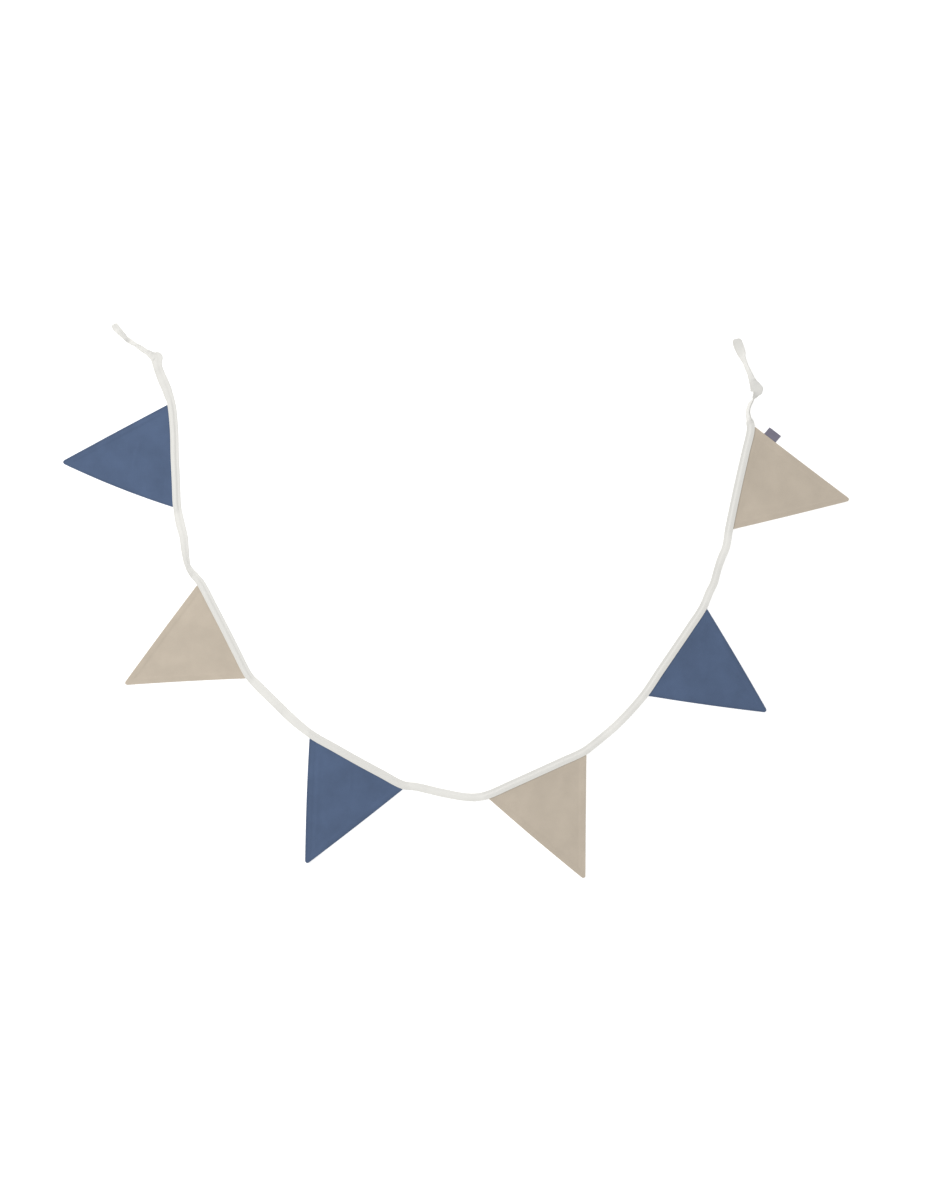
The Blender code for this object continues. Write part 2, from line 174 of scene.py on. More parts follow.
PENNANTS = (
    Pennant("blue", (-463.0, 314.4), (-453.9, 150.7), (-633.9, 221.7), (2.0, 0.8, 0.4), 0.5, 3.4, 1.6),
    Pennant("taupe", (-415.6, 25.5), (-338.3, -123.0), (-534.2, -135.1), (0.4, 0.3, -0.2), 0.6, -0.8, 0.6),
    Pennant("blue", (-234.3, -220.6), (-87.7, -300.9), (-242.3, -423.4), (-0.7, -1.3, -1.0), 1.3, 0.8, 1.8),
    Pennant("taupe", (52.9, -316.5), (206.7, -247.1), (206.2, -447.5), (-0.5, -0.5, -0.4), 1.2, -0.2, 0.8),
    Pennant("blue", (307.5, -151.6), (400.2, -13.7), (499.0, -179.1), (0.0, -0.3, -0.5), 1.2, 1.0, 0.5),
    Pennant("taupe", (442.8, 114.8), (477.4, 276.5), (632.4, 160.8), (0.4, 0.3, -0.2), 0.4, -0.2, 1.2),
)

# A soft ridge in a pennant, as a line between two points in millimetres, each given along the
# seam from its middle and down from the tape, with its width and its height.
Crease = namedtuple("Crease", "pennant along down to_along to_down width height")

CREASES = (
    Crease(1, 19, 29, 54, 34, 24, 1.0),
    Crease(1, -21, 48, 9, 57, 7, 0.6),
    Crease(1, -62, 28, -38, 80, 7, 0.5),
    Crease(1, -30, 96, 4, 118, 16, 0.6),
    Crease(2, -54, 21, -35, 37, 20, 0.8),
    Crease(2, -44, 62, -14, 78, 22, 0.6),
    Crease(2, -11, 136, 12, 140, 14, 0.6),
    Crease(2, 20, 58, 4, 106, 16, 0.6),
    Crease(3, -55, 24, 7, 150, 9, 0.6),
    Crease(3, 25, 7, 41, 50, 26, 1.1),
    Crease(3, -2, 13, 11, 39, 5, 0.45),
    Crease(3, 0, 88, 13, 118, 20, 0.8),
    Crease(4, 77, 9, 8, 164, 6, 0.5),
    Crease(4, -45, 10, -56, 26, 16, 0.7),
    Crease(4, 39, 13, 25, 38, 20, 0.8),
    Crease(4, -6, 64, 8, 108, 18, 0.6),
    Crease(5, 63, 9, 45, 17, 12, 0.6),
    Crease(5, 50, 53, 28, 99, 9, 0.5),
    Crease(5, -55, 35, -18, 114, 9, 0.5),
    Crease(5, -6, 44, 14, 74, 22, 0.6),
    Crease(6, 36, 45, -9, 62, 22, 0.9),
    Crease(6, -48, 22, -30, 64, 16, 0.6),
    Crease(6, 4, 104, 10, 140, 14, 0.5),
)

# Making of the tape
ROUTE_STEP = 0.001
TANGENT_SPAN = 0.002
# The slot for a pennant is open this far past its corners, and closes over this length
SLOT_PAST = 0.003
SLOT_CLOSING = 0.010
# Where the turned-in edge begins, across from the tape's middle, and the width of its step
STEP_START = -0.0030
STEP_RUN = 0.0040
MOUTH_CLEARANCE = 0.00015
STITCH_TROUGH = 0.00012
STITCH_TROUGH_WIDTH = 0.0008
TAPE_PUCKER = 0.00016
TAPE_PUCKER_LENGTH = 0.008
TAPE_WOBBLE = 0.014
TAPE_WOBBLE_LENGTH = 0.034
SPACING_TIE = 0.0014
SPACING_CLOSING = 0.0018
SPACING_OPEN = 0.0026
TAPE_WOBBLE_SEED = 1
TAPE_PUCKER_SEED = 2
# The tape's ends: the last length, which thins to a share of the cloth's thickness, and the
# length over which the tape narrows to a share of its width
END_ROUND = 0.0006
END_THICKNESS = 0.35
END_NARROWING = 0.0045
END_WIDTH = 0.55
FOLD_ANGLES = (240, 210, 180, 150, 120)
CAP_ANGLES = (50, 0, -50)

# Where a leaf of the tape has points, from its open edge to its fold, as shares of half the
# width. They are closest beside the stitches and where the raw edge is turned in.
LEAF_PLACES = (0.92, 0.84, 0.76, 0.685, 0.61, 0.5, 0.33, 0.16, 0.06,
               -0.05, -0.16, -0.27, -0.38, -0.5, -0.66, -0.8)

# Making of the stitching: how uneven the stitches are, how far the rows across the tape's ends
# lie from them, in insets, and in how many steps a row crosses the tape
STITCH_UNEVENNESS = 0.08
END_ROW_MARGIN = 1.5
END_ROW_STEPS = 6

# Making of the pennants
PENNANT_TUCK = 0.0052
# A pennant is level this far past the tape, and has come down to the surface at this distance
LEVEL_PAST_TAPE = 0.001
DROP_PAST_TAPE = 0.014
PUCKER_HEIGHT = 0.0005
PUCKER_COUNT = 4
PUCKER_REACH = 0.045
TIP_RADIUS = 0.003
TIP_CURL_REACH = 0.060
# Angles of the rows round the tip, in degrees. The first row lies at least this far past its sides.
TIP_ANGLES = (30, 40, 50, 60, 70, 80, 86)
TIP_FIRST_TURN = 3
ROW_SPACING = 0.0024
MIDDLE_COLUMNS = 72
BAND_FADE = 0.0035
GROOVE = 0.00004
WAVE_LENGTH = 0.042
RIPPLE_LENGTH = 0.013
RIPPLE_SHARE = 0.25
WAVES_SEED = 10
# Width of the painted shade along a pennant's edges
EDGE_SHADE_REACH = 0.006

# The rolled edge of a seam in section. Each point has its inset, in quarters of the thickness,
# and its rise: 0 in the groove between the plies, 1 at the outermost point and 2 on the face.
FACE_RISE = 2.0
ROLLED_EDGE = ((1.0, 0.0), (0.29, 0.29), (0.0, 1.0), (0.29, 1.71), (1.0, FACE_RISE))
# The most of a narrow row's width that one rolled edge, or one side with its edge, takes up
EDGE_SHARE = 0.3
SIDE_SHARE = 0.42

# Distances from a pennant's side of the points past its rounded seam edge
SIDE_PLACES = (0.0011, 0.002, 0.0034, 0.005, 0.0066, 0.008, 0.0092, 0.0105, 0.012, 0.0145, 0.017)
# Distances from the tape of the rows where the pennant comes out of it
FIRST_ROWS = (0.001, 0.0016, 0.0024, 0.0035, 0.005, 0.0068)

# Making of the label
LABEL_WIDTH = 0.023
LABEL_REACH = 0.0135
LABEL_FROM_CORNER = 0.0175
LABEL_LEAN = math.radians(3.5)
LABEL_COLUMNS = 26
LABEL_LOOP_UNEVENNESS = 0.12
LABEL_LOOP_LENGTH = 0.009
LABEL_LOOP_SEED = 31
LABEL_EDGE_UNEVENNESS = 0.0002
LABEL_EDGE_LENGTH = 0.008
LABEL_EDGE_SEED = 32
LABEL_END_THICKNESS = 0.3
LABEL_FOLD_ANGLES = (-90, -60, -30, 0, 30, 60, 90)
# Distances from the seam of the points along a leaf of the label, the distances at which the two
# leaves are fully open, and how far they lie from the seam's middle inside it, as a share of
# their thickness
LABEL_PLACES = (-0.0002, 0.0003, 0.0010, 0.0022, 0.0038, 0.0055, 0.0075, 0.0095, 0.0112)
LABEL_LOWER_OPENING = 0.005
LABEL_UPPER_OPENING = 0.008
LABEL_GRIP = 0.55

# The stage, as the photograph is framed: it shows this much of the surface, around this point
VIEW_LENGTH = 1.9215
VIEW_CENTRE = (0.02056, 0.00015)
FLOOR_SIZE = 14.0
FLOOR_DROP = 0.0002
FLOOR_ROUGHNESS = 0.95
FLOOR_SPECULAR = 0.1
WHITE = (1.0, 1.0, 1.0, 1.0)
KEY_PLACE = (-2.2, 1.0, 2.6)
KEY_SIZE = 2.4
CAMERA_REACH = 50.0

# How far the noise of one seed lies from that of the next
SEED_STEP = (17.3, 5.9, 11.1)


# Settings

def length_setting(name, description, default):
    return FloatProperty(name=name, description=description, default=default, min=0.0,
                         precision=5, unit="LENGTH")


def colour_setting(name, description, default):
    return FloatVectorProperty(name=name, description=description, default=default, min=0.0,
                               max=1.0, size=3, subtype="COLOR")


class BuntingTapeSettings(bpy.types.PropertyGroup):
    """Sizes and colour of the folded tape"""

    width: length_setting("Width", "Width of the folded tape", 0.0132)
    cloth: length_setting("Cloth", "Thickness of a leaf along the fold", 0.0006)
    turned: length_setting("Turned edge", "Thickness of a leaf where its edge is turned in", 0.00095)
    gap: length_setting("Gap", "Space between the leaves where the tape is shut", 0.0003)
    colour: colour_setting("Colour", "Colour of the tape", (0.793, 0.783, 0.746))


class BuntingStitchSettings(bpy.types.PropertyGroup):
    """Sizes and colour of the stitching along the tape's open edge"""

    pitch: length_setting("Pitch", "Distance from one stitch to the next", 0.0027)
    stitch: length_setting("Stitch", "Length of the thread that shows", 0.0021)
    thread: length_setting("Thread", "Thickness of the thread", 0.0003)
    inset: length_setting("Inset", "Distance from the tape's open edge", 0.002)
    seed: IntProperty(name="Seed", description="Seed of the stitches' unevenness", default=7)
    colour: colour_setting("Colour", "Colour of the thread", (0.70, 0.69, 0.64))


class BuntingPennantSettings(bpy.types.PropertyGroup):
    """Sizes and colours of the pennants"""

    in_tape: length_setting("In the tape", "Thickness of the edge held by the tape", 0.001)
    field: length_setting("Field", "Thickness of the two plies", 0.001)
    seam: length_setting("Seam", "Thickness at the sides, with the seam allowance inside", 0.0016)
    band: length_setting("Allowance", "Width of the seam allowance inside", 0.0085)
    waves: length_setting("Waves", "Height of the cloth's soft unevenness", 0.0005)
    blue: colour_setting("Blue", "Colour of the blue cotton", (0.0778, 0.1182, 0.2085))
    taupe: colour_setting("Taupe", "Colour of the taupe cotton", (0.527, 0.458, 0.372))


class BuntingLabelSettings(bpy.types.PropertyGroup):
    """Sizes and colour of the folded label"""

    cloth: length_setting("Cloth", "Thickness of the woven strip", 0.00045)
    loop: length_setting("Loop", "Height of the label at its fold", 0.0017)
    colour: colour_setting("Colour", "Colour of the label", (0.19, 0.18, 0.235))


class BuntingStageSettings(bpy.types.PropertyGroup):
    """Floor, light and lens"""

    lens: FloatProperty(name="Lens", description="Focal length of the lens, in millimetres",
                        default=80.0, min=1.0, unit="CAMERA")
    floor: colour_setting("Floor", "Colour of the floor", (0.92, 0.92, 0.92))
    glow: FloatProperty(name="Glow", description="Light of the floor itself, which keeps it white",
                        default=0.4, min=0.0)
    sky: FloatProperty(name="Sky", description="Strength of the even light from all round",
                       default=0.728, min=0.0)
    key: FloatProperty(name="Key", description="Power of the light from the left, in watts",
                       default=58.5, min=0.0, unit="POWER")


# Small helpers

def flat(x, y):
    """A point of the layout, from the coordinates of the tables."""
    return Vector((x - LAYOUT_CENTRE[0], y - LAYOUT_CENTRE[1])) * MM


def to_the_right(direction):
    """The direction a quarter turn clockwise from this one, which is towards the pennants."""
    return Vector((direction.y, -direction.x))


def ease(share):
    """Smooth step from 0 to 1."""
    share = min(max(share, 0.0), 1.0)
    return share * share * (3.0 - 2.0 * share)


def blend(before, after, share):
    return before + (after - before) * share


def uneven(seed, *places):
    """Smooth noise from -1 to 1 at a place of one to three numbers."""
    values = list(places) + [0.0] * (3 - len(places))
    return noise(Vector(values) + Vector([seed * step for step in SEED_STEP]))


# Route of the tape

def seam_points(pennant, tape_width):
    """Middle line of the tape beside a pennant: at both ends, and at each quarter between."""
    start = flat(*pennant.start)
    end = flat(*pennant.end)
    away = -to_the_right((end - start).normalized())
    bows = (0.0, *pennant.seam_bows, 0.0)
    steps = len(bows) - 1
    return [blend(start, end, number / steps) + away * (tape_width / 2 + bow * MM)
            for number, bow in enumerate(bows)]


def control_points(tape_width):
    """All the bends in order, and the numbers of those where each pennant starts and ends."""
    bends = [(flat(bend.x, bend.y), bend.roll, bend.spread) for bend in LEFT_TIE]
    sewn = []
    for number, pennant in enumerate(PENNANTS):
        seam = seam_points(pennant, tape_width)
        sewn.append((len(bends), len(bends) + len(seam) - 1))
        bends.extend((point, 0, 1.0) for point in seam)
        following = BETWEEN[number] if number < len(BETWEEN) else RIGHT_TIE
        bends.extend((flat(bend.x, bend.y), bend.roll, bend.spread) for bend in following)
    return bends, sewn


def curve_point(before, start, end, after, share):
    """Point on the smooth curve from start to end: a centripetal Catmull-Rom spline."""
    knots = [0.0]
    for first, second in ((before, start), (start, end), (end, after)):
        knots.append(knots[-1] + math.sqrt((second - first).length))
    knot = blend(knots[1], knots[2], share)

    def mix(first, second, low, high):
        return first + (second - first) * ((knot - knots[low]) / (knots[high] - knots[low]))

    first = mix(before, start, 0, 1)
    second = mix(start, end, 1, 2)
    third = mix(end, after, 2, 3)
    return mix(mix(first, second, 0, 2), mix(second, third, 1, 3), 1, 2)


def add_steps(places, end, spacing):
    """Add even steps from the last place to the end."""
    start = places[-1]
    count = max(1, math.ceil((end - start) / spacing))
    places.extend(blend(start, end, step / count) for step in range(1, count + 1))


class Route:
    """The tape's middle line, read by the distance from the left tie's end."""

    def __init__(self, tape_width):
        bends, sewn = control_points(tape_width)
        points = [bend[0] for bend in bends]
        ends = [points[0] * 2 - points[1]] + points + [points[-1] * 2 - points[-2]]
        self.samples = [points[0]]
        self.distances = [0.0]
        self.bend_distances = [0.0]
        for number in range(len(points) - 1):
            steps = max(2, round((points[number + 1] - points[number]).length / ROUTE_STEP))
            for step in range(1, steps + 1):
                point = curve_point(*ends[number:number + 4], step / steps)
                self.distances.append(self.distances[-1] + (point - self.samples[-1]).length)
                self.samples.append(point)
            self.bend_distances.append(self.distances[-1])
        self.length = self.distances[-1]
        self.rolls = [bend[1] for bend in bends]
        self.spreads = [bend[2] for bend in bends]
        self.sewn = [tuple(self.bend_distances[end] for end in pair) for pair in sewn]

    def middle(self, distance):
        """Point of the middle line."""
        distance = min(max(distance, 0.0), self.length)
        number = min(bisect_right(self.distances, distance), len(self.distances) - 1)
        low = self.distances[number - 1]
        high = self.distances[number]
        share = (distance - low) / (high - low)
        return blend(self.samples[number - 1], self.samples[number], share)

    def open_side(self, distance):
        """Direction across the tape towards its open edge, where the pennants are."""
        ahead = self.middle(distance + TANGENT_SPAN)
        behind = self.middle(distance - TANGENT_SPAN)
        return to_the_right((ahead - behind).normalized())

    def between_bends(self, values, distance):
        """A bend's value, eased from one bend to the next."""
        number = min(bisect_right(self.bend_distances, distance), len(self.bend_distances) - 1)
        low = self.bend_distances[number - 1]
        high = self.bend_distances[number]
        return blend(values[number - 1], values[number], ease((distance - low) / (high - low)))

    def roll(self, distance):
        """The tape's roll, which is none as far as the slot is open."""
        return math.radians(self.between_bends(self.rolls, distance)) * (1.0 - self.slot(distance))

    def spread(self, distance):
        return blend(self.between_bends(self.spreads, distance), 1.0, self.slot(distance))

    def end_width(self, distance):
        """How wide the tape still is where its ends are rounded off, as a share of its width."""
        from_end = min(distance, self.length - distance)
        short = 1.0 - min(max(from_end, 0.0) / END_NARROWING, 1.0)
        return blend(END_WIDTH, 1.0, math.sqrt(1.0 - short * short))

    def slot(self, distance):
        """How far the slot is open: 1 beside a pennant, 0 away from them."""
        nearest = min(max(start - distance, distance - end) for start, end in self.sewn)
        return 1.0 - ease((nearest - SLOT_PAST) / SLOT_CLOSING)

    def stations(self):
        """Distances at which the tape has a section, closest in the ties and at the slots' ends."""
        places = [0.0, END_ROUND]
        for number, (start, end) in enumerate(self.sewn):
            spacing = SPACING_OPEN if number else SPACING_TIE
            add_steps(places, start - SLOT_PAST - SLOT_CLOSING, spacing)
            add_steps(places, start - SLOT_PAST, SPACING_CLOSING)
            add_steps(places, end + SLOT_PAST, SPACING_OPEN)
            add_steps(places, end + SLOT_PAST + SLOT_CLOSING, SPACING_CLOSING)
        add_steps(places, self.length - END_ROUND, SPACING_TIE)
        return places + [self.length]


# Node building

def add_node(tree, kind, inputs=None, **settings):
    """A node with its settings, and its inputs set to a value or linked to a socket."""
    node = tree.nodes.new(kind)
    for name, value in settings.items():
        setattr(node, name, value)
    for key, value in (inputs or {}).items():
        if isinstance(value, bpy.types.NodeSocket):
            tree.links.new(value, node.inputs[key])
        else:
            node.inputs[key].default_value = value
    return node


def number_node(tree, operation, *values):
    """The output of a Math node."""
    return add_node(tree, "ShaderNodeMath", dict(enumerate(values)), operation=operation).outputs[0]


def group_tree(kind, name, inputs, outputs):
    """A node group with named inputs and outputs, and the nodes that give and take them."""
    tree = bpy.data.node_groups.new(name, kind)
    for socket_name, socket_kind, default in inputs:
        socket = tree.interface.new_socket(socket_name, in_out="INPUT", socket_type=socket_kind)
        if default is not None:
            socket.default_value = default
    for socket_name, socket_kind in outputs:
        tree.interface.new_socket(socket_name, in_out="OUTPUT", socket_type=socket_kind)
    given = tree.nodes.new("NodeGroupInput").outputs
    taken = tree.nodes.new("NodeGroupOutput").inputs
    return tree, given, taken


# Shared effects of the cloths

def plain_weave_group():
    """Threads that pass over and under each other: their height, and a mask of the gaps between them, where
    the material paints shade.
    """
    tree, given, taken = group_tree(
        "ShaderNodeTree", "Plain weave",
        [("Vector", "NodeSocketVector", None), ("Pitch", "NodeSocketFloat", 0.0005)],
        [("Height", "NodeSocketFloat"), ("Gap", "NodeSocketFloat")],
    )
    place = add_node(tree, "ShaderNodeSeparateXYZ", {0: given["Vector"]}).outputs
    turn = number_node(tree, "DIVIDE", math.pi, given["Pitch"])
    warp = number_node(tree, "SINE", number_node(tree, "MULTIPLY", place["X"], turn))
    weft = number_node(tree, "SINE", number_node(tree, "MULTIPLY", place["Y"], turn))
    crossing = number_node(tree, "MULTIPLY", warp, weft)
    over = number_node(tree, "ADD", number_node(tree, "ABSOLUTE", warp), crossing)
    under = number_node(tree, "SUBTRACT", number_node(tree, "ABSOLUTE", weft), crossing)
    height = number_node(tree, "MULTIPLY", number_node(tree, "MAXIMUM", over, under), 0.5)
    tree.links.new(height, taken["Height"])
    # Mask of the gaps between threads, in which the material paints shade
    tree.links.new(number_node(tree, "SUBTRACT", 1.0, height), taken["Gap"])
    return tree


def slub_group():
    """Long thick and thin places in the yarn, both ways of the cloth, from 0 to 1."""
    tree, given, taken = group_tree(
        "ShaderNodeTree", "Slubbed yarn",
        [("Vector", "NodeSocketVector", None), ("Yarn", "NodeSocketFloat", 0.0012),
         ("Length", "NodeSocketFloat", 0.03)],
        [("Tone", "NodeSocketFloat")],
    )
    fine = number_node(tree, "DIVIDE", 1.0, given["Yarn"])
    coarse = number_node(tree, "DIVIDE", 1.0, given["Length"])
    tones = []
    for sides in ((fine, coarse, 0.0), (coarse, fine, 0.0)):
        scale = add_node(tree, "ShaderNodeCombineXYZ", dict(enumerate(sides))).outputs[0]
        stretched = add_node(tree, "ShaderNodeVectorMath", {0: given["Vector"], 1: scale},
                             operation="MULTIPLY").outputs[0]
        tones.append(add_node(tree, "ShaderNodeTexNoise", {"Vector": stretched, "Scale": 1.0,
                                                           "Detail": 2.0}).outputs[0])
    both = number_node(tree, "ADD", *tones)
    tree.links.new(number_node(tree, "MULTIPLY", both, 0.5), taken["Tone"])
    return tree


def mottle_group():
    """Broad soft patches where the cloth took the dye and the iron unevenly, from 0 to 1."""
    tree, given, taken = group_tree(
        "ShaderNodeTree", "Uneven cloth",
        [("Vector", "NodeSocketVector", None), ("Size", "NodeSocketFloat", 0.035)],
        [("Tone", "NodeSocketFloat")],
    )
    scale = number_node(tree, "DIVIDE", 1.0, given["Size"])
    patches = add_node(tree, "ShaderNodeTexNoise", {"Vector": given["Vector"], "Scale": scale,
                                                    "Detail": 3.0, "Roughness": 0.55})
    tree.links.new(patches.outputs[0], taken["Tone"])
    return tree


def effect(name, maker):
    """The shared group of that name, made the first time that it is asked for."""
    return bpy.data.node_groups.get(name) or maker()


# How one cloth looks: the pitch of its threads and the size of its yarn and patches, in metres,
# how much slubs, patches, the painted shade in the gaps between threads and the marked places
# change its tone (painted shade along a blue pennant's rolled edges, partly its denser seam cloth,
# painted light along a taupe one's, and darker tape beside the pennants and in the ties), how deep
# its weave is, how rough and how fuzzy it is, and how far its threads are turned from the piece's length.
Finish = namedtuple("Finish", "pitch yarn slubs patch patches gaps rim bump roughness sheen turn")

SPECULAR = 0.3
SHEEN_ROUGHNESS = 0.5
WEAVE_STRENGTH = 0.6
# Tones at which the effects change nothing
NOISE_MIDDLE = 0.5
GAP_SHADE_MIDDLE = 0.35

# The seventh column paints shade along a blue pennant's rolled edges, partly for its denser seam cloth,
# paints light along a taupe one's, and darkens the tape beside the pennants and in the ties; the sixth
# paints shade in the gaps between threads.
FINISHES = {
    "blue_cotton": Finish(0.00055, 0.0009, 0.16, 0.055, 0.55, 0.20, 0.12, 0.00012, 0.88, 0.25, 0),
    "taupe_cotton": Finish(0.00055, 0.0009, 0.10, 0.055, 0.32, 0.14, -0.02, 0.00012, 0.88, 0.2, 0),
    "cream_binding": Finish(0.0005, 0.0008, 0.07, 0.03, 0.05, 0.10, 0.061, 0.0001, 0.85, 0.15, 45),
    "navy_label": Finish(0.00032, 0.0005, 0.3, 0.012, 0.2, 0.3, 0.0, 0.0001, 0.7, 0.2, 0),
    "thread": Finish(0.0003, 0.0004, 0.15, 0.02, 0.06, 0.1, 0.0, 0.00005, 0.6, 0.2, 45),
}


def cloth_material(name, colour, coordinates="UV"):
    """Principled material of one cloth, woven, slubbed and a little uneven, with painted shade in the gaps
    between its threads, painted shade along the blue pennants' edges and painted light along the taupe
    ones'.
    """
    finish = FINISHES[name]
    material = bpy.data.materials.new(name)
    material.use_nodes = True
    material.diffuse_color = (*colour, 1.0)
    tree = material.node_tree
    shader = tree.nodes["Principled BSDF"]
    shader.inputs["Roughness"].default_value = finish.roughness
    shader.inputs["Specular IOR Level"].default_value = SPECULAR
    shader.inputs["Sheen Weight"].default_value = finish.sheen
    shader.inputs["Sheen Roughness"].default_value = SHEEN_ROUGHNESS

    place = add_node(tree, "ShaderNodeTexCoord").outputs[coordinates]
    turned = add_node(tree, "ShaderNodeMapping", {"Vector": place}).outputs[0]
    turned.node.inputs["Rotation"].default_value = (0.0, 0.0, math.radians(finish.turn))
    weave = add_node(tree, "ShaderNodeGroup", node_tree=effect("Plain weave", plain_weave_group))
    slubs = add_node(tree, "ShaderNodeGroup", node_tree=effect("Slubbed yarn", slub_group))
    patches = add_node(tree, "ShaderNodeGroup", node_tree=effect("Uneven cloth", mottle_group))
    for group, sizes in ((weave, {"Pitch": finish.pitch}), (slubs, {"Yarn": finish.yarn}),
                         (patches, {"Size": finish.patch})):
        tree.links.new(turned, group.inputs["Vector"])
        for socket, size in sizes.items():
            group.inputs[socket].default_value = size

    # Painted shade along a blue pennant's rolled edges, partly its denser seam cloth, painted light along a
    # taupe one's edges, and darker tape beside the pennants and in the ties
    rim = add_node(tree, "ShaderNodeAttribute", attribute_name="rim").outputs["Fac"]
    tone = 1.0
    for output, middle, amount in (
        (slubs.outputs["Tone"], NOISE_MIDDLE, finish.slubs),
        (patches.outputs["Tone"], NOISE_MIDDLE, finish.patches),
        # Painted shade in the gaps between threads
        (weave.outputs["Gap"], GAP_SHADE_MIDDLE, -finish.gaps),
        (rim, 0.0, -finish.rim),
    ):
        change = number_node(tree, "MULTIPLY", number_node(tree, "SUBTRACT", output, middle), amount)
        tone = number_node(tree, "ADD", change, tone)
    base = add_node(tree, "ShaderNodeRGB")
    base.outputs[0].default_value = (*colour, 1.0)
    toned = add_node(tree, "ShaderNodeVectorMath", {0: base.outputs[0]}, operation="SCALE")
    tree.links.new(tone, toned.inputs["Scale"])
    tree.links.new(toned.outputs[0], shader.inputs["Base Color"])

    relief = number_node(tree, "ADD", weave.outputs["Height"], slubs.outputs["Tone"])
    bump = add_node(tree, "ShaderNodeBump", {"Height": relief, "Distance": finish.bump,
                                             "Strength": WEAVE_STRENGTH})
    tree.links.new(bump.outputs["Normal"], shader.inputs["Normal"])
    return material


# Meshes

def ring_mesh(name, rings, places, material, end_faces, shades_and_tones=None):
    """A closed piece through rings of points, with a UV map in metres and the faces at its ends.

    places holds each point's place on the flat cloth, and the last list, from 0 to 1, how much its
    tone changes: along a pennant's edges, where the material paints shade on blue cloth and light on taupe,
    and on the tape beside a pennant or in a tie.
    """
    work = bmesh.new()
    layer = work.loops.layers.uv.new("cloth")
    corners = [[work.verts.new(point) for point in ring] for ring in rings]
    where = {}
    for ring, spots in zip(corners, places):
        for corner, spot in zip(ring, spots):
            where[corner] = spot
    for ring, following in zip(corners, corners[1:]):
        for number in range(len(ring)):
            after = (number + 1) % len(ring)
            work.faces.new((ring[number], ring[after], following[after], following[number]))
    for ring in (corners[0], corners[-1]):
        for face in end_faces:
            work.faces.new([ring[number] for number in face])
    for face in work.faces:
        for loop in face.loops:
            loop[layer].uv = where[loop.vert]
    bmesh.ops.recalc_face_normals(work, faces=work.faces)
    mesh = bpy.data.meshes.new(name)
    work.to_mesh(mesh)
    work.free()
    mesh.shade_smooth()
    if shades_and_tones is not None:
        attribute = mesh.attributes.new("rim", "FLOAT", "POINT")
        attribute.data.foreach_set("value", [rim for ring in shades_and_tones for rim in ring])
    mesh.materials.append(material)
    return add_piece(name, mesh)


def add_piece(name, mesh):
    piece = bpy.data.objects.new(name, mesh)
    bpy.context.scene.collection.objects.link(piece)
    return piece


def thick_outline(centres, thicknesses):
    """Outline of a thick line through points in section, with round ends, and how far along it.

    It runs along the line's left side, round its end, back along its right side and round its
    start. The second list gives each outline point's distance along the line.
    """
    along = [0.0]
    for before, after in zip(centres, centres[1:]):
        along.append(along[-1] + (after - before).length)
    directions = []
    for number in range(len(centres)):
        before = centres[max(number - 1, 0)]
        after = centres[min(number + 1, len(centres) - 1)]
        directions.append((after - before).normalized())
    halves = [thickness / 2 for thickness in thicknesses]
    left = []
    right = []
    for centre, direction, half in zip(centres, directions, halves):
        out = -to_the_right(direction)
        left.append(centre + out * half)
        right.append(centre - out * half)

    def cap(centre, direction, half):
        out = -to_the_right(direction)
        turns = [math.radians(angle) for angle in CAP_ANGLES]
        return [centre + (direction * math.cos(turn) + out * math.sin(turn)) * half for turn in turns]

    end = cap(centres[-1], directions[-1], halves[-1])
    start = cap(centres[0], -directions[0], halves[0])
    outline = left + end + right[::-1] + start
    return outline, along + [along[-1]] * len(end) + along[::-1] + [0.0] * len(start)


# Tape

